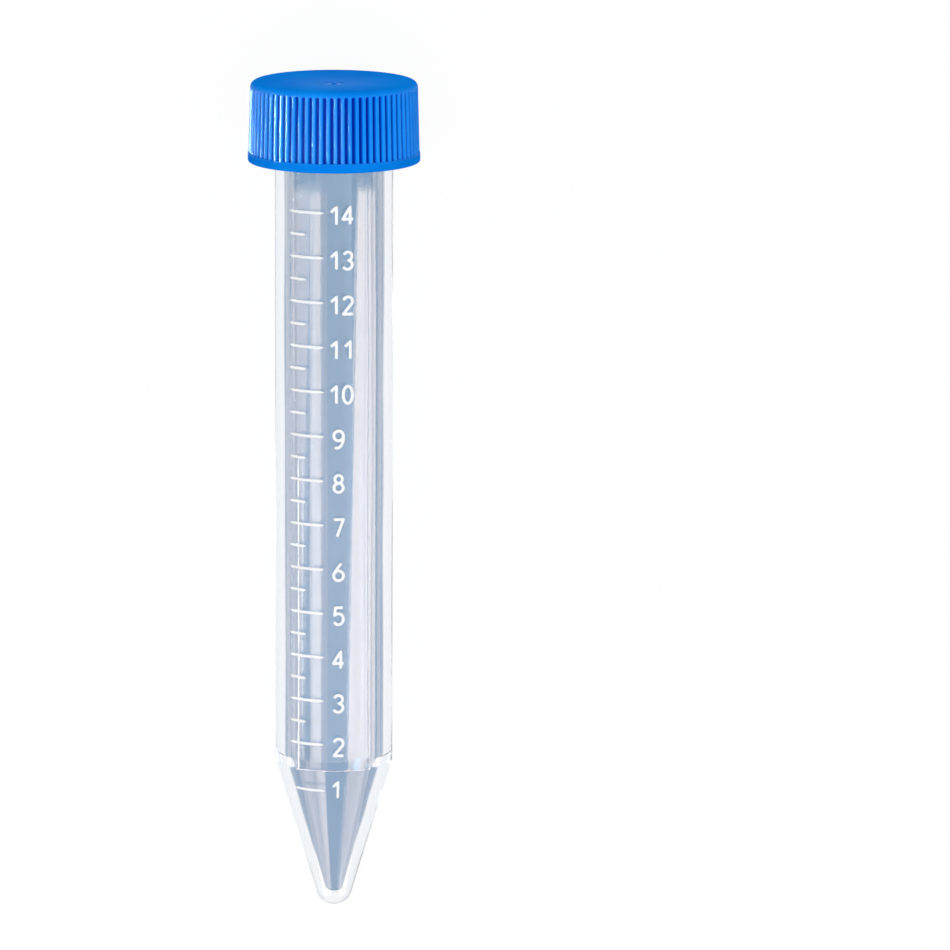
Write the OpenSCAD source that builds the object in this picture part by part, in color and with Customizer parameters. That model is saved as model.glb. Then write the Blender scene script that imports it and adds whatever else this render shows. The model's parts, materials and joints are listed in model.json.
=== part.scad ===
// Conical tube of 15 ml with a ribbed screw cap, lying on its side as it comes to rest.
// Each piece is drawn upright on the tube's axis, with the tip at z = 0, and lie() lays it down.

/* [Tube] */
// Length from the tip to the top of the closed cap
closed_len = 120; // [100:1:150]
// Outside diameter of the barrel
barrel_d = 16.8; // [13:0.1:22]
// Thickness of the barrel's wall
barrel_wall = 1.35; // [1:0.05:2]
// How much slimmer the neck is than the barrel, on each side
neck_step = 0.2; // [0.05:0.05:0.4]
// How far inside the cap the neck begins
neck_inset = 0.4; // [0.2:0.1:0.8]
// Rounding of the rim's two edges
rim_round = 0.4; // [0.1:0.05:0.45]

/* [Cone] */
// Height of the cone outside, from the tip to its shoulder
cone_h = 21.75; // [16:0.25:30]
// How far the shoulder inside lies above the one outside
inner_rise = 1.15; // [0:0.05:3]
// Radius of the round tip outside
tip_r = 2.6; // [2:0.1:4]
// Radius of the round bottom inside
inner_tip_r = 1.3; // [0.6:0.1:1.8]
// Thickness of the plastic under the bottom inside
floor_t = 2; // [1:0.1:3]

/* [Screw thread] */
// Rise of the cap in one turn
pitch = 3; // [2.6:0.1:4]
// How far each ridge stands out of its wall
thread_depth = 1.2; // [0.7:0.05:1.5]
// Width of a ridge at its foot
ridge_foot = 1.5; // [1.2:0.05:1.6]
// Width of a ridge at its crest
ridge_crest = 0.7; // [0.4:0.05:1]
// Space between a crest and the wall that it faces
crest_gap = 0.4; // [0.2:0.05:0.6]
// Space along the axis between the two ridges where they pull against each other
flank_gap = 0.2; // [0.1:0.05:0.4]
// Height between each end of the neck's ridge and the rim or the cap's mouth
thread_lead = 1.2; // [1:0.1:1.6]
// Height between the seal and the upper end of the cap's ridge
cap_ridge_lead = 3.1; // [1.5:0.1:4]

/* [Cap] */
// Height of the cap
cap_h = 11.4; // [9.5:0.1:16]
// Thickness of the cap's top
cap_top_t = 1.6; // [1.2:0.1:3]
// Thickness of the skirt between its bore and the floor of its grooves
skirt_wall = 1.75; // [1:0.05:3]
// How far the top sinks in towards its middle
dish = 0.35; // [0:0.05:0.6]
// Rounding of the edge round the top
top_round = 0.9; // [0.4:0.1:1.2]
// Rounding of the edge round the mouth
mouth_round = 0.25; // [0.1:0.05:0.4]
// Lead-in at the mouth of the bore
mouth_chamfer = 0.45; // [0.2:0.05:0.8]
// Height of the smooth band at the mouth
band_h = 1.3; // [0.8:0.1:3]
// How far the band stands out past the ribs
band_lip = 0.1; // [0:0.05:0.4]

/* [Grip ribs] */
// Number of ribs round the cap
rib_count = 72; // [36:1:80]
// Depth of the grooves between the ribs
rib_depth = 0.55; // [0.3:0.05:0.8]
// Width of a rib at its crest
rib_crest = 0.5; // [0.3:0.05:0.6]
// Width of a rib at the floor of the grooves
rib_foot = 0.72; // [0.5:0.05:0.8]
// How much nearer to the axis the ribs are at the top than at the band
rib_lean = 0.25; // [0:0.05:0.5]
// Height over which each groove runs out under the top edge
groove_runout = 0.6; // [0.3:0.1:1.5]

/* [Moulding mark] */
// Radius of the round recess in the middle of the top
gate_r = 1.5; // [0.8:0.1:3]
// Depth of that recess
gate_depth = 0.08; // [0:0.02:0.2]
// Radius of the pip left in its middle
pip_r = 0.35; // [0.2:0.05:0.6]
// Height of that pip
pip_h = 0.15; // [0.05:0.05:0.3]

/* [Seal] */
// Thickness of the seal that the rim presses on
seal_t = 1; // [0.6:0.1:2]
// Space between the seal's edge and the cap's bore
seal_gap = 0.25; // [0.1:0.05:0.5]

/* [Hidden] */
$fn = 96;
arc_steps = 8;
tip_steps = 14;
ridge_sides = 36;
ridge_fade = 45;
ridge_sunk = 0.2;
ridge_end_sunk = 0.1;
rib_sunk = 0.1;
overshoot = 0.5;

// Tube
barrel_r = barrel_d / 2;
bore_r = barrel_r - barrel_wall;
neck_r = barrel_r - neck_step;
rim_z = closed_len - cap_top_t - seal_t;
mouth_z = closed_len - cap_h;
neck_z = mouth_z + neck_inset;

// Cap, from the bore outwards
cap_bore_r = neck_r + thread_depth + crest_gap;
groove_r = cap_bore_r + skirt_wall;
rib_r = groove_r + rib_depth;
band_r = rib_r + band_lip;
band_z = mouth_z + band_h;
edge_z = closed_len - top_round;
face_r = rib_r - rib_lean - top_round;

// Thread. The cap's ridge runs just under the neck's, so that turning the cap pulls it down.
thread_top_z = rim_z - thread_lead;
thread_low_z = mouth_z + thread_lead;
ridge_slope = (ridge_foot - ridge_crest) / 2 / (thread_depth + ridge_sunk);
ridge_reach = (ridge_foot + ridge_crest) / 2 - ridge_slope * (crest_gap + ridge_sunk);
ridge_shift = ridge_reach + flank_gap;
cap_ridge_start = 360 * ridge_shift / pitch;

// The tube rests on its shoulder and on the edge round the cap's mouth, which tilts the axis.
// It lies turned about its axis, so that the seam of its round walls is off the bench.
rest_turn = -10.3;
rest_run = mouth_z + mouth_round - cone_h;
rest_rise = band_r - mouth_round - barrel_r;
rest_tilt = atan2(rest_rise, rest_run) + asin(mouth_round / norm([rest_run, rest_rise]));
tip_lift = barrel_r * cos(rest_tilt) - cone_h * sin(rest_tilt);
near_x = tip_r * (cos(rest_tilt) - 1);
far_x = edge_z * cos(rest_tilt) + face_r * sin(rest_tilt) + top_round;
middle_x = (near_x + far_x) / 2;

// Points on an arc about (x, z), from one angle to another
function arc(x, z, r, from, to) =
    [for (i = [0:arc_steps]) let (a = from + (to - from) * i / arc_steps) [x + r * cos(a), z + r * sin(a)]];

// Half angle of the cone that touches a ball and passes a ring of radius r, h above the ball's middle
function half_angle(ball_r, r, h) = atan2(r, h) - asin(ball_r / norm([r, h]));

// Outline of a round tip from the axis to where the cone leaves it
function tip_outline(ball_r, low_z, ring_r, ring_z) =
    let (sweep = 90 - half_angle(ball_r, ring_r, ring_z - low_z - ball_r))
    [for (i = [0:tip_steps]) let (a = sweep * i / tip_steps) [ball_r * sin(a), low_z + ball_r * (1 - cos(a))]];

function reversed(list) = [for (i = [len(list) - 1:-1:0]) list[i]];

// Radius of the ribs' crests at a height
function crest_r(z) = rib_r - rib_lean * (z - band_z) / (edge_z - band_z);

// How much of its full depth a ridge has, by the angle from its nearer end
function fade(a) = a >= ridge_fade ? 1 : sin(90 * a / ridge_fade);

// Cross-section of a ridge turned to an angle about the axis, at a height. side is 1 outwards.
function ridge_ring(wall_r, side, turn, z, part) =
    let (foot = wall_r - side * ridge_sunk)
    let (crest = wall_r + side * (thread_depth * part - ridge_end_sunk * (1 - part)))
    [for (p = [[foot, -ridge_foot], [crest, -ridge_crest], [crest, ridge_crest], [foot, ridge_foot]])
        [p[0] * cos(turn), p[0] * sin(turn), z + p[1] / 2]];

// One right-handed ridge that starts at low_z and the angle start, and fades out at both ends
module ridge(wall_r, side, low_z, top_z, start) {
    sweep = 360 * (top_z - low_z) / pitch;
    steps = ceil(sweep / 360 * ridge_sides);
    points = [
        for (i = [0:steps])
            let (a = sweep * i / steps)
            each ridge_ring(wall_r, side, start + a, low_z + pitch * a / 360, fade(min(a, sweep - a)))
    ];
    sides = [
        for (i = [0:steps - 1], k = [0:3])
            let (m = 4 * i + k, n = 4 * i + (k + 1) % 4)
            each [[m, n, n + 4], [m, n + 4, m + 4]]
    ];
    ends = [[3, 2, 1, 0], [for (k = [0:3]) 4 * steps + k]];
    faces = concat(sides, ends);
    polyhedron(points, side > 0 ? faces : [for (f = faces) reversed(f)]);
}

// Lays an upright piece down on the shoulder and the cap's edge
module lie() {
    translate([-middle_x, 0, tip_lift])
        rotate([0, 90 - rest_tilt, 0])
            rotate([0, 0, rest_turn])
                children();
}

module tube_wall() {
    inner_z = cone_h + inner_rise;
    rim_r = min(rim_round, (neck_r - bore_r) / 2.2);
    rim_low = rim_z - rim_r;
    rotate_extrude()
        polygon(concat(
            tip_outline(tip_r, 0, barrel_r, cone_h),
            [[barrel_r, cone_h], [barrel_r, neck_z - neck_step], [neck_r, neck_z]],
            arc(neck_r - rim_r, rim_low, rim_r, 0, 90),
            arc(bore_r + rim_r, rim_low, rim_r, 90, 180),
            [[bore_r, inner_z]],
            reversed(tip_outline(inner_tip_r, floor_t, bore_r, inner_z))
        ));
}

module tube() {
    color([0.78, 0.85, 0.93, 0.45])
        lie() {
            union() {
                tube_wall();
                ridge(neck_r, 1, thread_low_z, thread_top_z, 0);
            }
        }
}

// The dished top, from the edge to the axis
function top_outline() =
    let (low = closed_len - dish)
    concat(
        [for (i = [0:arc_steps]) let (r = face_r - (face_r - gate_r) * i / arc_steps)
            [r, low + dish * pow(r / face_r, 2)]],
        [[gate_r, low - gate_depth], [pip_r, low - gate_depth], [pip_r, low - gate_depth + pip_h]],
        [[0, low - gate_depth + pip_h]]
    );

// The cap without its ribs: band, floor of the grooves, rounded edge, top and bore
module cap_shell() {
    under_top = closed_len - cap_top_t;
    runout_z = edge_z - groove_runout;
    runout_r = crest_r(runout_z) - rib_depth;
    runout = [
        for (i = [0:arc_steps])
            let (a = 90 * i / arc_steps)
            [runout_r + (crest_r(edge_z) - runout_r) * (1 - cos(a)), runout_z + groove_runout * sin(a)]
    ];
    rotate_extrude()
        polygon(concat(
            [[cap_bore_r + mouth_chamfer, mouth_z]],
            arc(band_r - mouth_round, mouth_z + mouth_round, mouth_round, -90, 0),
            [[band_r, band_z], [groove_r, band_z]],
            runout,
            arc(face_r, edge_z, top_round, 0, 90),
            top_outline(),
            [[0, under_top], [cap_bore_r, under_top], [cap_bore_r, mouth_z + mouth_chamfer]]
        ));
}

// Star whose points are the ribs
module rib_star() {
    inner_r = groove_r - rib_lean - rib_sunk;
    outer_r = rib_r + overshoot;
    flare = (rib_foot - rib_crest) / rib_depth;
    inner_w = rib_foot + flare * (groove_r - inner_r);
    outer_w = rib_crest - flare * (outer_r - rib_r);
    corners = [[inner_r, -inner_w], [outer_r, -outer_w], [outer_r, outer_w], [inner_r, inner_w]];
    polygon([
        for (i = [0:rib_count - 1], c = corners)
            let (a = 360 * i / rib_count + asin(c[1] / 2 / c[0]))
            [c[0] * cos(a), c[0] * sin(a)]
    ]);
}

// The ribs, cut to the slope of their crests
module ribs() {
    inside_r = cap_bore_r + skirt_wall / 2;
    intersection() {
        rotate_extrude()
            polygon([[inside_r, band_z], [rib_r, band_z], [crest_r(edge_z), edge_z], [inside_r, edge_z]]);
        translate([0, 0, band_z - overshoot])
            linear_extrude(edge_z - band_z + 2 * overshoot)
                rib_star();
    }
}

module screw_cap() {
    color([0.04, 0.42, 0.87])
        lie() {
            union() {
                cap_shell();
                ribs();
                ridge(cap_bore_r, -1, thread_low_z, rim_z - cap_ridge_lead, cap_ridge_start);
            }
        }
}

module seal_liner() {
    color([0.93, 0.94, 0.95])
        lie()
            translate([0, 0, rim_z])
                cylinder(h = seal_t, r = cap_bore_r - seal_gap);
}

tube();
screw_cap();
seal_liner();
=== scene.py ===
import json
import math

import bmesh
import bpy
from mathutils import Matrix, Vector


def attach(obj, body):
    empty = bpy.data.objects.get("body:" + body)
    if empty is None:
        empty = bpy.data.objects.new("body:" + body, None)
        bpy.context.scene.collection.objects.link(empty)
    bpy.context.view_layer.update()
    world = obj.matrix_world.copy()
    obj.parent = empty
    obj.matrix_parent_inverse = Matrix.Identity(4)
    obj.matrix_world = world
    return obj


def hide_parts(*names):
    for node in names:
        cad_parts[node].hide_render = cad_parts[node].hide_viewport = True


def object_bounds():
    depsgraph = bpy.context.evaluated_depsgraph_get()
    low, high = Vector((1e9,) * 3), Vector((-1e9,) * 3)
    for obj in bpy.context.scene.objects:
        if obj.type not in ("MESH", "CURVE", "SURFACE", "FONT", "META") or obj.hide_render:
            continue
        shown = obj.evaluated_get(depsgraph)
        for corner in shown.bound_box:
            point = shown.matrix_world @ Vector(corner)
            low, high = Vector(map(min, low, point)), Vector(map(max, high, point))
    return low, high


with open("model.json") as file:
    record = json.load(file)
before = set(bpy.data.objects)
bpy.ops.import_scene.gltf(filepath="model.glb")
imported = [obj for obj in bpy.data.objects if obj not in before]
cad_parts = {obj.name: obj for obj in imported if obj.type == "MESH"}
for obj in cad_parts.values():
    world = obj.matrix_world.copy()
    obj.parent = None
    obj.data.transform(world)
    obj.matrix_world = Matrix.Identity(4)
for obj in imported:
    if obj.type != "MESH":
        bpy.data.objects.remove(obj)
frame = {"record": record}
cad_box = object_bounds()

MM = 0.001

# Sizes in millimetres. Heights are above the tip of the tube when it stands upright.
TOP = 120.0
MOUTH = 108.6
SHOULDER = 21.75
BARREL_R = next(m for m in frame["record"]["mounts"] if m["kind"] == "pin")["dims"]["r_mm"]
BORE_R = 7.05
NECK_R = 8.2
NECK_FOOT = MOUTH + 0.4
INNER_SHOULDER = SHOULDER + 1.15
TIP_R = 2.6
INNER_TIP_R = 1.3
FLOOR = 2.0
SEAL_HEIGHT = 1.0
CAP_INSIDE = TOP - 1.6
RIM = CAP_INSIDE - SEAL_HEIGHT
RIM_ROUND = 0.4

# The screw thread. A ridge's foot lies a little inside its wall. The cap's ridge runs just under the neck's.
PITCH = 3.0
RIDGE_FOOT = 1.5
RIDGE_CREST = 0.7
RIDGE_DEPTH = 1.2
RIDGE_SUNK = 0.2
CREST_GAP = 0.4
FLANK_GAP = 0.2
RIDGE_FADE = PITCH / 8
THREAD_LEAD = 1.2
THREAD_LOW = MOUTH + THREAD_LEAD
NECK_RIDGE_TOP = RIM - THREAD_LEAD
CAP_RIDGE_TOP = RIM - 3.1
FLANK = (RIDGE_FOOT - RIDGE_CREST) / 2 / (RIDGE_DEPTH + RIDGE_SUNK)
CAP_RIDGE_DROP = (RIDGE_FOOT + RIDGE_CREST) / 2 - FLANK * (CREST_GAP + RIDGE_SUNK) + FLANK_GAP

CAP_BORE_R = 9.8
RIB_R = 12.1
BAND_R = 12.2
BAND_TOP = MOUTH + 1.3
EDGE_ROUND = 0.9
EDGE = TOP - EDGE_ROUND
ARCH = EDGE - 0.12
LEAN = 0.25
FACE_R = RIB_R - LEAN - EDGE_ROUND
DISH = 0.35
GATE_R = 1.5
GATE_DEPTH = 0.08
RIBS = 72
GROOVE_DEPTH = 0.55
SEAL_R = CAP_BORE_R - 0.25

# The stretches of wall that carry the thread.
NECK_START, NECK_END = NECK_FOOT + 0.15, RIM - 0.48
BORE_START, BORE_END = MOUTH + 0.6, CAP_INSIDE - 0.35

# Facets round each turned piece. A rib and its groove have nine.
TUBE_SIDES, CAP_SIDES, SEAL_SIDES = 192, 9 * RIBS, 160

# The printed scale: a line for each millilitre, the first on the cone and the others up the barrel.
TOP_LEVEL = 14
ML_STEP = 6.4
SECOND_LINE = 25.6
FIRST_LINE = 18.6

# The tube's axis in the frame, from the joints.
lift, turn = frame["record"]["behaviour"]["joints"]
AXIS = Vector(lift["axis"]).normalized()
SIDE = Vector((0, 1, 0))
UP = AXIS.cross(SIDE)
TIP = Vector(turn["pos_m"]) - AXIS * MOUTH * MM


def facing(right, up, back):
    """The turn that takes X, Y and Z to three directions."""
    return Matrix((right, up, back)).transposed().to_4x4()


# Lays an upright shape in millimetres along the axis, turned about it as the part rests.
REST_TURN = -10.3
LAY = (
    Matrix.Translation(TIP) @ facing(-UP, SIDE, AXIS) @ Matrix.Scale(MM, 4)
    @ Matrix.Rotation(math.radians(REST_TURN), 4, "Z")
)


def crest_r(height):
    """How far the ribs' crests stand from the axis, which leans in towards the top."""
    return RIB_R - LEAN * (height - BAND_TOP) / (EDGE - BAND_TOP)


def cone_lean(ball_r, low, ring_r, ring_z):
    """How far a cone that leaves a ball-shaped tip for a ring leans from the axis."""
    rise = ring_z - low - ball_r
    return math.atan2(ring_r, rise) - math.asin(ball_r / math.hypot(ring_r, rise))


OUTER_CONE = (TIP_R, 0.0, BARREL_R, SHOULDER)
INNER_CONE = (INNER_TIP_R, FLOOR, BORE_R, INNER_SHOULDER)


# ---------------------------------------------------------------- camera

def add_camera():
    """Looks down on the lying tube from beyond its cap, so that the cap's top shows a little."""
    above, beyond, aside = 930 * MM, 252.69 * MM, 20.12 * MM
    lean, roll = math.radians(11.51), math.radians(0.25)
    data = bpy.data.cameras.new("camera")
    data.sensor_width, data.lens = 36, 251.9
    data.clip_start, data.clip_end = 0.05, 20
    camera = bpy.data.objects.new("camera", data)
    bpy.context.collection.objects.link(camera)
    back = UP * math.cos(lean) + AXIS * math.sin(lean)
    over = AXIS * math.cos(lean) - UP * math.sin(lean)
    place = Matrix.Translation(TIP + AXIS * beyond + UP * above - SIDE * aside)
    camera.matrix_world = place @ facing(-SIDE, over, back) @ Matrix.Rotation(roll, 4, "Z")
    bpy.context.scene.camera = camera


add_camera()


# ---------------------------------------------------------------- nodes

class Wire:
    """One output of a node. A sum on it adds Math nodes to its tree."""

    def __init__(self, tree, socket):
        self.tree, self.socket = tree, socket

    def math(self, operation, *values):
        return self.tree.add("ShaderNodeMath", dict(enumerate(values)), operation=operation)["Value"]

    def __add__(self, other):
        return self.math("ADD", self, other)

    def __sub__(self, other):
        return self.math("SUBTRACT", self, other)

    def __rsub__(self, other):
        return self.math("SUBTRACT", other, self)

    def __mul__(self, other):
        return self.math("MULTIPLY", self, other)

    def __truediv__(self, other):
        return self.math("DIVIDE", self, other)

    def __rtruediv__(self, other):
        return self.math("DIVIDE", other, self)

    def __gt__(self, other):
        return self.math("GREATER_THAN", self, other)

    def __lt__(self, other):
        return self.math("LESS_THAN", self, other)

    __radd__ = __add__
    __rmul__ = __mul__

    def sin(self):
        return self.math("SINE", self)

    def cos(self):
        return self.math("COSINE", self)

    def arctan(self, across):
        """The angle of a direction, from how far it goes along Y and along X."""
        return self.math("ARCTAN2", self, across)

    def root(self):
        return self.math("SQRT", self.most(0.0))

    def floor(self):
        return self.math("FLOOR", self)

    def least(self, other):
        return self.math("MINIMUM", self, other)

    def most(self, other):
        return self.math("MAXIMUM", self, other)

    def within(self, low, high):
        return self.most(low).least(high)

    def step(self, low, high):
        """0 up to low, 1 from high, and a smooth climb between."""
        part = ((self - low) / (high - low)).within(0.0, 1.0)
        return part * part * (3 - 2 * part)


class Made:
    """A node that has been added. Its outputs are read by name."""

    def __init__(self, tree, node):
        self.tree, self.node = tree, node

    def __getitem__(self, name):
        return Wire(self.tree, next(s for s in self.node.outputs if s.enabled and s.name == name))


class Tree:
    """A node tree that is being filled."""

    def __init__(self, tree):
        self.tree = tree
        tree.nodes.clear()

    def add(self, kind, sockets=None, **settings):
        """Adds a node: first its settings, then the values or wires of its sockets, by name or number."""
        node = self.tree.nodes.new(kind)
        for name, value in settings.items():
            setattr(node, name, value)
        for name, value in (sockets or {}).items():
            if isinstance(name, int):
                socket = node.inputs[name]
            else:
                socket = next(s for s in node.inputs if s.enabled and s.name == name)
            for one in value if isinstance(value, list) else [value]:
                if isinstance(one, Wire):
                    self.tree.links.new(one.socket, socket)
                else:
                    socket.default_value = one
        return Made(self, node)

    def apart(self, vector):
        """The three numbers of a vector."""
        split = self.add("ShaderNodeSeparateXYZ", {"Vector": vector})
        return split["X"], split["Y"], split["Z"]

    def vector(self, x, y, z):
        return self.add("ShaderNodeCombineXYZ", {"X": x, "Y": y, "Z": z})["Vector"]

    def blend(self, factor, one, other):
        """A colour between two colours."""
        return self.add("ShaderNodeMix", {"Factor": factor, "A": one, "B": other}, data_type="RGBA")["Result"]


class Shape(Tree):
    """A geometry tree with named sizes, and the way to put it on a piece."""

    SOCKETS = {float: "NodeSocketFloat", int: "NodeSocketInt", bpy.types.Material: "NodeSocketMaterial"}

    def __init__(self, name, sizes):
        super().__init__(bpy.data.node_groups.new(name, "GeometryNodeTree"))
        face = self.tree.interface
        face.new_socket("Geometry", in_out="INPUT", socket_type="NodeSocketGeometry")
        face.new_socket("Geometry", in_out="OUTPUT", socket_type="NodeSocketGeometry")
        self.values = {}
        for size, value in sizes.items():
            kind = next(s for k, s in self.SOCKETS.items() if isinstance(value, k))
            self.values[face.new_socket(size, in_out="INPUT", socket_type=kind).identifier] = value
        self.given = self.add("NodeGroupInput")

    def __getitem__(self, name):
        return self.given[name]

    def end(self, geometry):
        """Makes the geometry real, smooth and coloured, and hands it out."""
        real = self.add("GeometryNodeRealizeInstances", {"Geometry": geometry})["Geometry"]
        smooth = self.add("GeometryNodeSetShadeSmooth", {"Geometry": real})["Geometry"]
        done = self.add(
            "GeometryNodeSetMaterial", {"Geometry": smooth, "Material": self["Material"]}
        )["Geometry"]
        self.add("NodeGroupOutput", {"Geometry": done})
        return self

    def put_on(self, piece):
        """Adds the tree to a piece, with its sizes set by the sockets' identifiers."""
        modifier = piece.modifiers.new(self.tree.name, "NODES")
        modifier.node_group = self.tree
        for name, value in self.values.items():
            modifier[name] = value


# ---------------------------------------------------------------- outlines

def along(one, other, distance):
    """The point at a distance from one point towards another."""
    part = distance / math.dist(one, other)
    return tuple(a + (b - a) * part for a, b in zip(one, other))


def rounded(corners, beside=0.25, facet=12):
    """Rows (radius, height) through corners (radius, height, fillet), with a facet of so many degrees. A long
    stretch has a row close to each of its ends, which keeps the shading crisp."""
    runs = []
    for before, (radius, height, fillet), after in zip(corners, corners[1:], corners[2:]):
        corner = (radius, height)
        back, on = Vector(before[:2]) - Vector(corner), Vector(after[:2]) - Vector(corner)
        turned = math.pi - back.angle(on)
        if fillet == 0 or turned < 0.01:
            runs.append([corner])
            continue
        reach = fillet * math.tan(turned / 2)
        start, end = Vector(along(corner, before[:2], reach)), Vector(along(corner, after[:2], reach))
        inwards = (back.normalized() + on.normalized()).normalized()
        middle = Vector(corner) + inwards * (fillet / math.cos(turned / 2))
        steps = max(2, round(math.degrees(turned) / facet))
        first, last = start - middle, end - middle
        runs.append([
            tuple(middle + (first * math.sin(turned * (1 - i / steps)) + last * math.sin(turned * i / steps))
                  / math.sin(turned))
            for i in range(steps + 1)
        ])
    runs = [[corners[0][:2]], *runs, [corners[-1][:2]]]
    rows = list(runs[0])
    for one, other in zip(runs, runs[1:]):
        gap = math.dist(one[-1], other[0])
        if gap > 3 * beside:
            rows += [along(one[-1], other[0], beside), along(other[0], one[-1], beside)]
        rows += other if gap > 1e-6 else other[1:]
    return rows


def round_tip(ball_r, low, ring_r, ring_z, steps=18):
    """Rows of a ball-shaped tip, from the axis to where the cone leaves it for a ring."""
    sweep = math.pi / 2 - cone_lean(ball_r, low, ring_r, ring_z)
    return [
        (ball_r * math.sin(sweep * i / steps), low + ball_r * (1 - math.cos(sweep * i / steps)))
        for i in range(steps + 1)
    ]


def plain(rows):
    """Rows that don't climb."""
    return [(radius, height, (0.0, 0.0, 0.0)) for radius, height in rows]


def ridge_rows(wall_r, low, high):
    """Rows that climb with the thread, for every turn that a stretch of wall meets. Each has its part of the
    depth and its place across the ridge, whose foot and crest are rounded a little."""
    foot, crest = RIDGE_FOOT / 2, RIDGE_CREST / 2
    half = [(foot, 0.0), (foot - 0.04, 0.04), (crest + 0.05, 0.90), (crest, 0.985), (crest - 0.07, 1.0)]
    across = [(-place, part) for place, part in half] + [(place, part) for place, part in reversed(half)]
    turns = range(-1, math.ceil((high - low) / PITCH) + 1)
    return [(wall_r, THREAD_LOW + PITCH * k, (1.0, part, place)) for k in turns for place, part in across]


def outline_mesh(name, rows):
    """A mesh of the rows' points, with how each row climbs."""
    mesh = bpy.data.meshes.new(name)
    mesh.from_pydata([(radius, 0, height) for radius, height, _ in rows], [], [])
    mesh.attributes.new("climb", "FLOAT_VECTOR", "POINT").data.foreach_set(
        "vector", [number for *_, climb in rows for number in climb]
    )
    return mesh


# ---------------------------------------------------------------- geometry trees

def turned_shape(material, rows, sides, ridge_depth=0.0, ridge_shift=0.0, ridge_top=0.0, low=0.0, high=0.0):
    """Turns an outline about the axis. Rows that climb follow the thread and carry its ridge."""
    shape = Shape("turned", {
        "Material": material, "Sides": sides, "Rows": rows, "Pitch": PITCH, "Ridge Depth": ridge_depth,
        "Ridge Shift": ridge_shift, "Ridge Start": THREAD_LOW, "Ridge End": ridge_top,
        "Ridge Fade": RIDGE_FADE, "Low": low, "High": high,
    })
    outline = shape["Geometry"]
    grid = shape.add("GeometryNodeMeshGrid", {
        "Vertices X": shape["Sides"] + 1, "Vertices Y": shape["Rows"],
    })["Mesh"]
    index = shape.add("GeometryNodeInputIndex")["Index"]
    column = ((index + 0.5) / shape["Rows"]).floor()
    row = index - column * shape["Rows"]

    def sampled(field):
        """What the outline's row holds at this point of the grid."""
        return shape.add(
            "GeometryNodeSampleIndex", {"Geometry": outline, "Value": field, "Index": row},
            data_type="FLOAT_VECTOR", domain="POINT",
        )["Value"]

    radius, _, height = shape.apart(sampled(shape.add("GeometryNodeInputPosition")["Position"]))
    climb = shape.add("GeometryNodeInputNamedAttribute", {"Name": "climb"}, data_type="FLOAT_VECTOR")
    climbs, part, place = shape.apart(sampled(climb["Attribute"]))
    turned = column / shape["Sides"]
    middle = height + shape["Pitch"] * turned - shape["Ridge Shift"]
    raised = (middle + place).within(shape["Low"], shape["High"])
    height = height + climbs * (raised - height)
    inside = (middle - shape["Ridge Start"]).least(shape["Ridge End"] - middle)
    fade = ((inside / shape["Ridge Fade"]).within(0.0, 1.0) * (math.pi / 2)).sin()
    radius = radius + shape["Ridge Depth"] * part * fade
    angle = turned * (2 * math.pi)
    moved = shape.add("GeometryNodeSetPosition", {
        "Geometry": grid, "Position": shape.vector(radius * angle.cos(), radius * angle.sin(), height),
    })["Geometry"]
    return shape.end(shape.add(
        "GeometryNodeMergeByDistance", {"Geometry": moved, "Distance": 0.002}
    )["Geometry"])


def grip_shape(material):
    """Sinks the grooves between the ribs into a smooth cap. Each ends in an arch under the top edge."""
    shape = Shape("grip", {
        "Material": material, "Ribs": RIBS, "Groove Depth": GROOVE_DEPTH, "Foot": 0.12, "Crest": 0.36,
        "Arch": ARCH, "Ledge": BAND_TOP + 0.02, "Inside": CAP_BORE_R + 1.0, "Crowding": 0.15,
    })
    x, y, z = shape.apart(shape.add("GeometryNodeInputPosition")["Position"])
    radius = (x * x + y * y).root()
    angle = y.arctan(x)
    across = angle * shape["Ribs"] / (2 * math.pi) + 0.5
    whole = across.floor()
    across = across - whole - 0.5
    across = across + shape["Crowding"] * (across * (4 * math.pi)).sin() / (4 * math.pi)
    angle = (whole + across) * (2 * math.pi) / shape["Ribs"]
    aside = across * radius * (2 * math.pi) / shape["Ribs"]
    over = (z - shape["Arch"]).most(0.0)
    away = (aside * aside + over * over).root()
    sunk = (1 - away.step(shape["Foot"], shape["Crest"])) * (z > shape["Ledge"]) * (radius > shape["Inside"])
    radius = radius - shape["Groove Depth"] * sunk
    sunken = shape.vector(radius * angle.cos(), radius * angle.sin(), z)
    return shape.end(shape.add(
        "GeometryNodeSetPosition", {"Geometry": shape["Geometry"], "Position": sunken}
    )["Geometry"])


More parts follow.
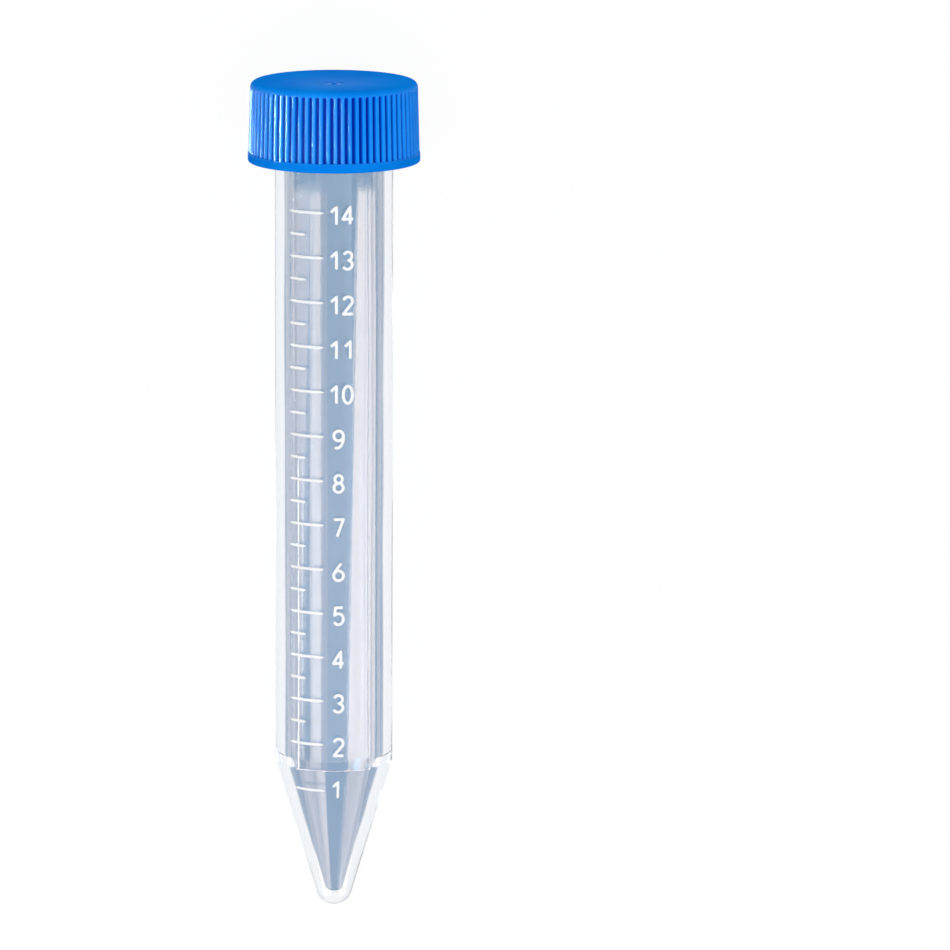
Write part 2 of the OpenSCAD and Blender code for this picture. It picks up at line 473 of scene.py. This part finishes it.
def scale_shape(material):
    """Prints the scale on the tube: copies of one line, and numerals drawn along their strokes."""
    shape = Shape("scale", {
        "Material": material, "Line Start": -7.05, "Line End": -1.45, "Half Line End": -4.2,
        "Line Width": 0.40, "Numeral Width": 0.44, "Step": ML_STEP, "First Line": SECOND_LINE,
        "Lines": TOP_LEVEL - 1, "Cone Line": FIRST_LINE, "Barrel": BARREL_R, "Shoulder": SHOULDER,
        "Cone Slope": math.tan(cone_lean(*OUTER_CONE)), "Facing": 1.25 - REST_TURN, "Ink": 0.035,
    })

    def pen_tip(sides):
        """A round profile to draw a stroke with."""
        return shape.add("GeometryNodeCurvePrimitiveCircle", {"Resolution": sides, "Radius": 1.0})["Curve"]

    def bulge(part):
        """The width of a round end, from 0 at its tip to 1."""
        return (1 - (1 - part) * (1 - part)).root()

    def line(end, count, first):
        """Copies of one line, each drawn finer towards its ends so that they come out round."""
        stroke = shape.add("GeometryNodeCurvePrimitiveLine", {
            "Start": shape.vector(shape["Line Start"], 0.0, 0.0), "End": shape.vector(end, 0.0, 0.0),
        })["Curve"]
        stroke = shape.add("GeometryNodeResampleCurve", {"Curve": stroke, "Count": 25})["Curve"]
        factor = shape.add("GeometryNodeSplineParameter")["Factor"]
        eased = 0.5 - 0.5 * (factor * math.pi).cos()
        length = end - shape["Line Start"]
        stroke = shape.add("GeometryNodeSetPosition", {
            "Geometry": stroke, "Position": shape.vector(shape["Line Start"] + length * eased, 0.0, 0.0),
        })["Geometry"]
        half = shape["Line Width"] / 2
        to_end = (eased.least(1 - eased) * length / half).within(0.02, 1.0)
        inked = shape.add("GeometryNodeCurveToMesh", {
            "Curve": stroke, "Scale": half * bulge(to_end), "Profile Curve": pen_tip(12), "Fill Caps": True,
        })["Mesh"]
        places = shape.add("GeometryNodeMeshLine", {
            "Count": count, "Start Location": shape.vector(0.0, 0.0, first),
            "Offset": shape.vector(0.0, 0.0, shape["Step"]),
        })["Mesh"]
        return shape.add("GeometryNodeInstanceOnPoints", {"Points": places, "Instance": inked})["Instances"]

    full = line(shape["Line End"], shape["Lines"], shape["First Line"])
    halves = line(shape["Half Line End"], shape["Lines"] - 1, shape["First Line"] + shape["Step"] / 2)
    lowest = line(shape["Line End"], 1, shape["Cone Line"])

    pen = shape.add("GeometryNodeMeshToCurve", {"Mesh": shape["Geometry"]})["Curve"]
    so_far = shape.add("GeometryNodeSplineParameter")["Length"]
    whole = shape.add("GeometryNodeSplineLength")["Length"]
    taper, blunt = 0.12, 0.72
    to_end = (so_far.least(whole - so_far) / taper).within(0.0, 1.0)
    closed = shape.add("GeometryNodeInputSplineCyclic")["Cyclic"]
    end = (blunt + (1 - blunt) * bulge(to_end)).most(closed)
    numerals = shape.add("GeometryNodeCurveToMesh", {
        "Curve": pen, "Scale": shape["Numeral Width"] / 2 * end, "Profile Curve": pen_tip(10),
        "Fill Caps": True,
    })["Mesh"]

    flat = shape.add("GeometryNodeJoinGeometry", {"Geometry": [full, halves, lowest, numerals]})["Geometry"]
    flat = shape.add("GeometryNodeRealizeInstances", {"Geometry": flat})["Geometry"]
    x, y, z = shape.apart(shape.add("GeometryNodeInputPosition")["Position"])
    radius = shape["Barrel"] - (shape["Shoulder"] - z).most(0.0) * shape["Cone Slope"]
    radius = radius - y / (shape["Line Width"] / 2) * shape["Ink"]
    angle = x / shape["Barrel"] + shape["Facing"] * (math.pi / 180)
    wrapped = shape.add("GeometryNodeSetPosition", {
        "Geometry": flat, "Position": shape.vector(-1 * radius * angle.cos(), -1 * radius * angle.sin(), z),
    })["Geometry"]
    return shape.end(wrapped)


# ---------------------------------------------------------------- numerals

def oval(x, z, rx, rz, start, end, steps=16):
    """Points along part of an oval, between two angles in degrees."""
    angles = [math.radians(start + (end - start) * i / steps) for i in range(steps + 1)]
    return [(x + rx * math.cos(a), z + rz * math.sin(a)) for a in angles]


# Each numeral's strokes, in millimetres about its middle.
CAP_LINE = 1.235
NUMERALS = {
    "0": [oval(0, 0, 0.68, CAP_LINE, 0, 360, 28)],
    "1": [[(-0.40, 0.50), (0.36, CAP_LINE), (0.36, -CAP_LINE)]],
    "2": [oval(0, 0.58, 0.66, 0.655, 165, -32) + [(-0.68, -CAP_LINE), (0.70, -CAP_LINE)]],
    "3": [oval(-0.02, 0.63, 0.60, 0.605, 160, -90) + oval(-0.04, -0.605, 0.68, 0.63, 90, -158)[1:]],
    "4": [[(0.32, -CAP_LINE), (0.32, CAP_LINE), (-0.75, -0.50), (0.74, -0.50)]],
    "5": [[(0.60, CAP_LINE), (-0.45, CAP_LINE)] + oval(-0.02, -0.43, 0.70, 0.805, 140, -152)],
    "6": [
        oval(0, -0.525, 0.70, 0.71, 0, 360, 24),
        [(-0.62, -0.20), (-0.35, 0.30), (0.02, 0.80), (0.38, CAP_LINE)],
    ],
    "7": [[(-0.68, CAP_LINE), (0.68, CAP_LINE), (-0.22, -CAP_LINE)]],
    "8": [oval(0, 0.66, 0.53, 0.575, -90, 270, 22), oval(0, -0.575, 0.66, 0.66, 90, 450, 24)],
    "9": [oval(0, 0.52, 0.68, 0.715, 0, 360, 24), oval(-0.20, 0.25, 0.88, 1.485, 8, -112, 14)],
}


def evenly(stroke, near=0.05, far=0.12):
    """A stroke with points close to its ends and to each corner, so that the pen keeps its width there."""
    points = [stroke[0]]
    for one, other in zip(stroke, stroke[1:]):
        if math.dist(one, other) > 4 * far:
            points += [along(one, other, near), along(one, other, far)]
            points += [along(other, one, far), along(other, one, near)]
        points.append(other)
    return points


def numeral_places(level):
    """The middle of each digit beside a line: how far along it, and how high."""
    if level == 1:
        return [(0.25, FIRST_LINE + 0.15)]
    height = SECOND_LINE + ML_STEP * (level - 2) - 0.35
    return [(middle, height) for middle in ((0.64,) if level < 10 else (-0.03, 1.97))]


def strokes_mesh():
    """The strokes of the numerals from 1 up, in a flat plane, each beside its line."""
    mesh = bmesh.new()
    for level in range(1, TOP_LEVEL + 1):
        for digit, (middle, height) in zip(str(level), numeral_places(level)):
            for stroke in NUMERALS[digit]:
                ring = math.dist(stroke[0], stroke[-1]) < 1e-6
                path = evenly(stroke)[: -1 if ring else None]
                points = [mesh.verts.new((middle + x, 0, height + z)) for x, z in path]
                for one, other in zip(points, points[1:] + points[:1] if ring else points[1:]):
                    mesh.edges.new((one, other))
    strokes = bpy.data.meshes.new("strokes")
    mesh.to_mesh(strokes)
    mesh.free()
    return strokes


# ---------------------------------------------------------------- finishes

def new_finish(name, fill):
    """A material whose shader a function returns."""
    material = bpy.data.materials.new(name)
    material.use_nodes = True
    tree = Tree(material.node_tree)
    tree.add("ShaderNodeOutputMaterial", {"Surface": fill(tree)})
    return material


def place_of(tree):
    """A point's place in millimetres when the tube stands upright: Z above the tip, X and Y off the axis."""
    place = tree.add("ShaderNodeTexCoord")["Object"]
    return tree.add("ShaderNodeMapping", {
        "Vector": place, "Location": LAY.translation, "Rotation": LAY.to_euler(), "Scale": (MM, MM, MM),
    }, vector_type="TEXTURE")["Vector"]


def off_axis(tree, place):
    """Distance from the axis, and height."""
    x, y, z = tree.apart(place)
    return (x * x + y * y).root(), z


def noise(tree, place, scale, detail=2.0, roughness=0.5):
    """Noise whose lumps are about 1 / scale millimetres apart. scale may differ along X, Y and Z."""
    if isinstance(scale, tuple):
        place = tree.add("ShaderNodeVectorMath", {0: place, 1: scale}, operation="MULTIPLY")["Vector"]
        scale = 1.0
    return tree.add("ShaderNodeTexNoise", {
        "Vector": place, "Scale": scale, "Detail": detail, "Roughness": roughness,
    })["Fac"]


def bumped(tree, height, strength, distance):
    """A surface bent by a height, whose full climb is a distance in millimetres."""
    return tree.add("ShaderNodeBump", {
        "Strength": strength, "Distance": distance * MM, "Height": height,
    })["Normal"]


def clear_polypropylene(tree):
    """Clear plastic with the slow waviness of a moulded wall, and a blue tint on its bore that is partly its
    own and partly painted shade, darker towards the cap.
    """
    place = place_of(tree)
    radius, height = off_axis(tree, place)
    waves = noise(tree, place, (0.35, 0.35, 0.03), 1.0)
    streaks = noise(tree, place, (0.9, 0.9, 0.02), 1.0) * height.step(80.0, 106.0)
    bent = bumped(tree, waves + 0.35 * streaks, 0.10, 0.4)
    # Painted shade: the bore gets a blue-grey tint, darker towards the cap, and the outside stays nearly
    # clear, so the tube is dark in its middle and light at its edges.
    slope = (math.tan(cone_lean(*OUTER_CONE)) + math.tan(cone_lean(*INNER_CONE))) / 2
    middle = (BARREL_R + BORE_R) / 2 - slope * ((SHOULDER + INNER_SHOULDER) / 2 - height).most(0.0)
    on_bore = (radius < middle) * (height > FLOOR / 2)
    deep = tree.blend(height.step(50.0, 104.0), (0.26, 0.375, 0.52, 1.0), (0.20, 0.32, 0.46, 1.0))
    tint_and_painted_shade = tree.blend(on_bore, (0.97, 0.98, 0.99, 1.0), deep)
    # The coat reflects almost nothing; its tint only darkens the tube towards its outlines, a painted shade.
    plastic = tree.add("ShaderNodeBsdfPrincipled", {
        "Base Color": tint_and_painted_shade, "Roughness": 0.03, "IOR": 1.49, "Transmission Weight": 1.0, "Normal": bent,
        "Coat Weight": 1.0, "Coat Roughness": 0.03, "Coat IOR": 1.01, "Coat Tint": (0.98, 0.984, 0.99, 1.0),
    })["BSDF"]
    passed = tree.add("ShaderNodeBsdfTransparent", {"Color": (0.90, 0.93, 0.96, 1.0)})["BSDF"]
    shadow = tree.add("ShaderNodeLightPath")["Is Shadow Ray"]
    return tree.add("ShaderNodeMixShader", {0: shadow, 1: plastic, 2: passed})["Shader"]


def blue_polyethylene(tree):
    """Blue plastic, matt on its face and glossier on the grip, with a fine grain, an uneven blue, and painted
    shade in the grooves and on the band.
    """
    place = place_of(tree)
    radius, height = off_axis(tree, place)
    cloud = noise(tree, place, 0.12, 3.0)
    speck = noise(tree, place, 3.0, 2.0, 0.6)
    colour = tree.blend(cloud.step(0.3, 0.7), (0.001, 0.245, 0.92, 1.0), (0.003, 0.285, 0.98, 1.0))
    # Painted shade: the grooves darken towards this deep blue by their depth, and the band a little.
    shade = (0.0, 0.03, 0.38, 1.0)
    deep = (crest_r(height) - radius).step(0.1, GROOVE_DEPTH) * (height > BAND_TOP) * (height < EDGE)
    colour = tree.blend(deep, colour, shade)
    colour = tree.blend(0.2 * (height < BAND_TOP), colour, shade)
    skirt = (TOP - height).step(0.15, 0.9) * (height > BAND_TOP - 0.12)
    gate = (radius < GATE_R + 0.1) * (height > CAP_INSIDE)
    dish = (1 - radius / FACE_R).within(0.0, 1.0) * (height > CAP_INSIDE)
    gloss = 0.004 + 0.03 * dish + 0.22 * (1 - deep) * skirt + 0.1 * gate
    return tree.add("ShaderNodeBsdfPrincipled", {
        "Base Color": colour, "Roughness": 0.45, "Specular IOR Level": 0.0, "Coat Weight": gloss,
        "Coat Roughness": 0.13, "Coat IOR": 1.5, "Normal": bumped(tree, speck, 0.12, 0.05),
    })["BSDF"]


def white_ink(tree):
    """Screen-printed ink, matt and slightly uneven."""
    place = place_of(tree)
    patch = noise(tree, place, 1.5, 2.0)
    return tree.add("ShaderNodeBsdfPrincipled", {
        "Base Color": tree.blend(patch.step(0.25, 0.6), (0.90, 0.92, 0.94, 1.0), (0.94, 0.955, 0.97, 1.0)),
        "Roughness": 0.45 + 0.1 * patch, "Specular IOR Level": 0.1,
    })["BSDF"]


def foam_liner(tree):
    """Off-white foam with fine closed cells."""
    place = place_of(tree)
    cells = tree.add("ShaderNodeTexVoronoi", {"Vector": place, "Scale": 4.2})["Distance"]
    return tree.add("ShaderNodeBsdfPrincipled", {
        "Base Color": tree.blend(cells.step(0.05, 0.6), (0.80, 0.81, 0.82, 1.0), (0.90, 0.905, 0.91, 1.0)),
        "Roughness": 0.65 + 0.15 * cells, "Normal": bumped(tree, cells, 0.35, 0.08),
    })["BSDF"]


clear_plastic = new_finish("clear_polypropylene", clear_polypropylene)
blue_plastic = new_finish("blue_polyethylene", blue_polyethylene)
ink = new_finish("white_ink", white_ink)
foam = new_finish("foam_liner", foam_liner)


# ---------------------------------------------------------------- pieces

def finished_piece(name, mesh, *shapes):
    """Keeps what the trees make of a mesh as one plain closed mesh, laid down in the frame."""
    piece = bpy.data.objects.new(name, mesh)
    bpy.context.collection.objects.link(piece)
    for shape in shapes:
        shape.put_on(piece)
    seen = bpy.context.evaluated_depsgraph_get()
    made = bpy.data.meshes.new_from_object(piece.evaluated_get(seen), depsgraph=seen)
    piece.modifiers.clear()
    shell = bmesh.new()
    shell.from_mesh(made)
    if shell.calc_volume(signed=True) < 0:
        bmesh.ops.reverse_faces(shell, faces=shell.faces)
    shell.to_mesh(made)
    shell.free()
    made.transform(LAY)
    made.name = name
    piece.data = made
    return piece


def tube_rows():
    """The tube's wall, from the middle of its tip up the outside, over the rim and down to its floor."""
    outside, inside = round_tip(*OUTER_CONE), round_tip(*INNER_CONE)
    up = rounded([
        outside[-1] + (0,), (BARREL_R, SHOULDER, 0.7), (BARREL_R, NECK_FOOT - 0.2, 0.1),
        (NECK_R, NECK_FOOT, 0.1), (NECK_R, NECK_START, 0),
    ])
    neck = ridge_rows(NECK_R, THREAD_LOW - RIDGE_FOOT / 2, NECK_END)
    over = rounded([
        (NECK_R, NECK_END, 0), (NECK_R, RIM, RIM_ROUND), (BORE_R, RIM, RIM_ROUND),
        (BORE_R, INNER_SHOULDER, 0.5), inside[-1] + (0,),
    ])
    return plain(outside[:-1] + up) + neck + plain(over + inside[-2::-1])


def cap_rows():
    """The cap, from the gate in the middle of its top down the outside and up its bore."""
    low = TOP - DISH
    gate_floor = low - GATE_DEPTH
    dish = [
        (r, low + DISH * (r / FACE_R) ** 2, 0)
        for r in (GATE_R + 0.15, 3.0, 5.0, 7.0, 8.5, 9.7, FACE_R - 0.35)
    ]
    top = rounded([
        (0, gate_floor + 0.15, 0), (0.35, gate_floor + 0.15, 0.08), (0.35, gate_floor, 0.05),
        (GATE_R, gate_floor, 0.04), (GATE_R, low + DISH * (GATE_R / FACE_R) ** 2, 0.04), *dish,
        (FACE_R, TOP, 0.2), (FACE_R + 0.02, TOP, 0),
    ])
    edge = [
        (FACE_R + EDGE_ROUND * math.sin(a), EDGE + EDGE_ROUND * math.cos(a))
        for a in map(math.radians, (10, 20, 30, 40, 50, 60, 66, 71, 75, 79, 83, 87))
    ]
    grip = [(crest_r(EDGE - down), EDGE - down) for down in (0, 0.06, 0.12, 0.2, 0.35, 0.6, 0.9)]
    grip += [(crest_r(BAND_TOP + up), BAND_TOP + up) for up in (0.4, 0.16, 0.07)]
    band = rounded([
        (RIB_R, BAND_TOP, 0), (BAND_R, BAND_TOP, 0.1), (BAND_R, MOUTH, 0.25), (CAP_BORE_R + 0.45, MOUTH, 0.1),
        (CAP_BORE_R, MOUTH + 0.45, 0.1), (CAP_BORE_R, BORE_START, 0),
    ])
    bore = ridge_rows(CAP_BORE_R, THREAD_LOW, CAP_INSIDE)
    roof = rounded([(CAP_BORE_R, BORE_END, 0), (CAP_BORE_R, CAP_INSIDE, 0.15), (0, CAP_INSIDE, 0)])
    return plain(top + edge + grip + band) + bore + plain(roof)


def seal_rows():
    """The seal, a flat disc between the cap's roof and the tube's rim."""
    return plain(rounded([
        (0, RIM, 0), (SEAL_R, RIM, 0.12), (SEAL_R, CAP_INSIDE, 0.12), (0, CAP_INSIDE, 0),
    ]))


def turned_piece(name, rows, material, sides, *more, **ridge):
    """A piece turned from its rows, with any further shapes put on it in order."""
    turned = turned_shape(material, len(rows), sides, **ridge)
    return finished_piece(name, outline_mesh(name + "_outline", rows), turned, *more)


tube = turned_piece(
    "tube_wall", tube_rows(), clear_plastic, TUBE_SIDES,
    ridge_depth=RIDGE_DEPTH, ridge_top=NECK_RIDGE_TOP, low=NECK_START, high=NECK_END,
)
cap = turned_piece(
    "cap_shell", cap_rows(), blue_plastic, CAP_SIDES, grip_shape(blue_plastic),
    ridge_depth=-RIDGE_DEPTH, ridge_shift=CAP_RIDGE_DROP, ridge_top=CAP_RIDGE_TOP,
    low=BORE_START, high=BORE_END,
)
seal = turned_piece("seal_disc", seal_rows(), foam, SEAL_SIDES)
scale = finished_piece("scale_print", strokes_mesh(), scale_shape(ink))

for piece, body in ((tube, "tube"), (scale, "tube"), (seal, "seal"), (cap, "cap")):
    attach(piece, body)
for piece, node, slot in (
    (tube, "tube", "clear_plastic"), (seal, "seal_liner", "liner"), (cap, "screw_cap", "blue_cap"),
):
    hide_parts(node)


# ---------------------------------------------------------------- floor and light

WARM = (1.0, 0.81, 0.67)
COOL = (0.7, 1.0, 1.0)
WHITE = (1.0, 1.0, 1.0)


def seen_white(tree):
    """1 for the rays that show the surroundings: straight, mirrored or through the plastic."""
    path = tree.add("ShaderNodeLightPath")
    return path["Is Camera Ray"].most(path["Is Glossy Ray"]).most(path["Is Transmission Ray"])


def pale_floor(tree):
    """White where it is seen, with a little of the matt surface's shade, so that the shadow stays."""
    matt = tree.add("ShaderNodeBsdfDiffuse", {"Color": (0.95, 0.95, 0.95, 1.0)})["BSDF"]
    white = tree.add("ShaderNodeEmission", {"Color": (*WHITE, 1.0), "Strength": 1.0})["Emission"]
    return tree.add("ShaderNodeMixShader", {0: 0.94 * seen_white(tree), 1: matt, 2: white})["Shader"]


def add_floor():
    """A wide floor just under the part."""
    low = cad_box[0][2] - 0.02 * MM
    floor = bpy.data.objects.new("floor", bpy.data.meshes.new("floor"))
    half = 3.0
    floor.data.from_pydata(
        [(-half, -half, low), (half, -half, low), (half, half, low), (-half, half, low)], [], [(0, 1, 2, 3)]
    )
    floor.data.materials.append(new_finish("pale_floor", pale_floor))
    bpy.context.collection.objects.link(floor)


def add_key():
    """The one lamp that lights matt surfaces, wide and straight above."""
    data = bpy.data.lights.new("key", "AREA")
    radiance, data.size = 1.6, 1.2
    data.energy = radiance * math.pi * data.size ** 2
    key = bpy.data.objects.new("key", data)
    bpy.context.collection.objects.link(key)
    key.matrix_world = Matrix.Translation(TIP + AXIS * 0.04 + UP * 0.7) @ facing(SIDE, UP.cross(SIDE), UP)
    key.visible_camera = key.visible_glossy = False


def add_softbox(name, low, low_turns, high, high_turns, radiance, tone=WARM, away=700):
    """A curved softbox round the tube, seen only in reflections and through the clear plastic. Each end has
    its place along the tube in millimetres above the tip, and how far its two corners are turned from
    straight above towards the camera's right, in degrees."""
    steps = 16
    points = []
    for step in range(steps + 1):
        for height, (first, last) in ((low, low_turns), (high, high_turns)):
            turn = math.radians(first + (last - first) * step / steps)
            points.append(TIP + (AXIS * height + (UP * math.cos(turn) - SIDE * math.sin(turn)) * away) * MM)
    mesh = bpy.data.meshes.new(name)
    mesh.from_pydata(points, [], [(2 * k, 2 * k + 2, 2 * k + 3, 2 * k + 1) for k in range(steps)])
    mesh.materials.append(new_finish(name, lambda tree: tree.add(
        "ShaderNodeEmission", {"Color": (*tone, 1.0), "Strength": radiance}
    )["Emission"]))
    mesh.materials[0].cycles.emission_sampling = "NONE"
    softbox = bpy.data.objects.new(name, mesh)
    bpy.context.collection.objects.link(softbox)
    softbox.visible_camera = softbox.visible_diffuse = softbox.visible_shadow = False


def add_surroundings():
    """A plain white all round, which lights matt surfaces only a little."""
    world = bpy.data.worlds.new("surroundings")
    bpy.context.scene.world = world
    world.use_nodes = True
    tree = Tree(world.node_tree)
    ambient = 0.25
    lit = tree.add("ShaderNodeBackground", {
        "Color": (*WHITE, 1.0), "Strength": ambient + (1.0 - ambient) * seen_white(tree),
    })["Background"]
    tree.add("ShaderNodeOutputWorld", {"Surface": lit})


add_floor()
add_surroundings()
add_key()
add_softbox("strip_left", -190, (-47, -25), -5, (-47, -25), 6.5)
add_softbox("strip_left_edge", -190, (-25, -11), -5, (-25, -13), 2.6)
add_softbox("window_left", -190, (-86, -74), -5, (-86, -47), 4.2)
add_softbox("window_left_edge", -190, (-74, -50), -5, (-47, -47), 1.2)
add_softbox("softbox_right", -190, (22, 70), -5, (49, 70), 8.0)
add_softbox("softbox_right_side", -190, (72, 89), -5, (72, 89), 7.0)
add_softbox("cone_strip_left", -830, (-45, -22), -560, (-45, -22), 5.5)
add_softbox("cone_window_left", -830, (-85, -47), -500, (-85, -47), 3.6)
add_softbox("cone_softbox_right", -830, (34, 87), -500, (34, 87), 4.0)
add_softbox("end_softbox", -490, (-86, 86), -320, (-86, 86), 18.0)
add_softbox("low_window_left", 5, (-112, -88), 108, (-112, -88), 4.0, away=60)
add_softbox("low_window_right", 5, (89, 101), 108, (89, 101), 3.5, away=60)
add_softbox("bright_line_left", -190, (-74.5, -72), -70, (-74, -72.5), 25.0, WHITE, 690)
add_softbox("cap_strip_left", 5, (-88, -66), 130, (-88, -66), 200.0, COOL)

bpy.context.scene.view_settings.view_transform = "Standard"

# The clear walls lie behind one another, so light needs many bounces.
bpy.context.scene.cycles.max_bounces = 24
bpy.context.scene.cycles.glossy_bounces = 16
bpy.context.scene.cycles.transmission_bounces = 24
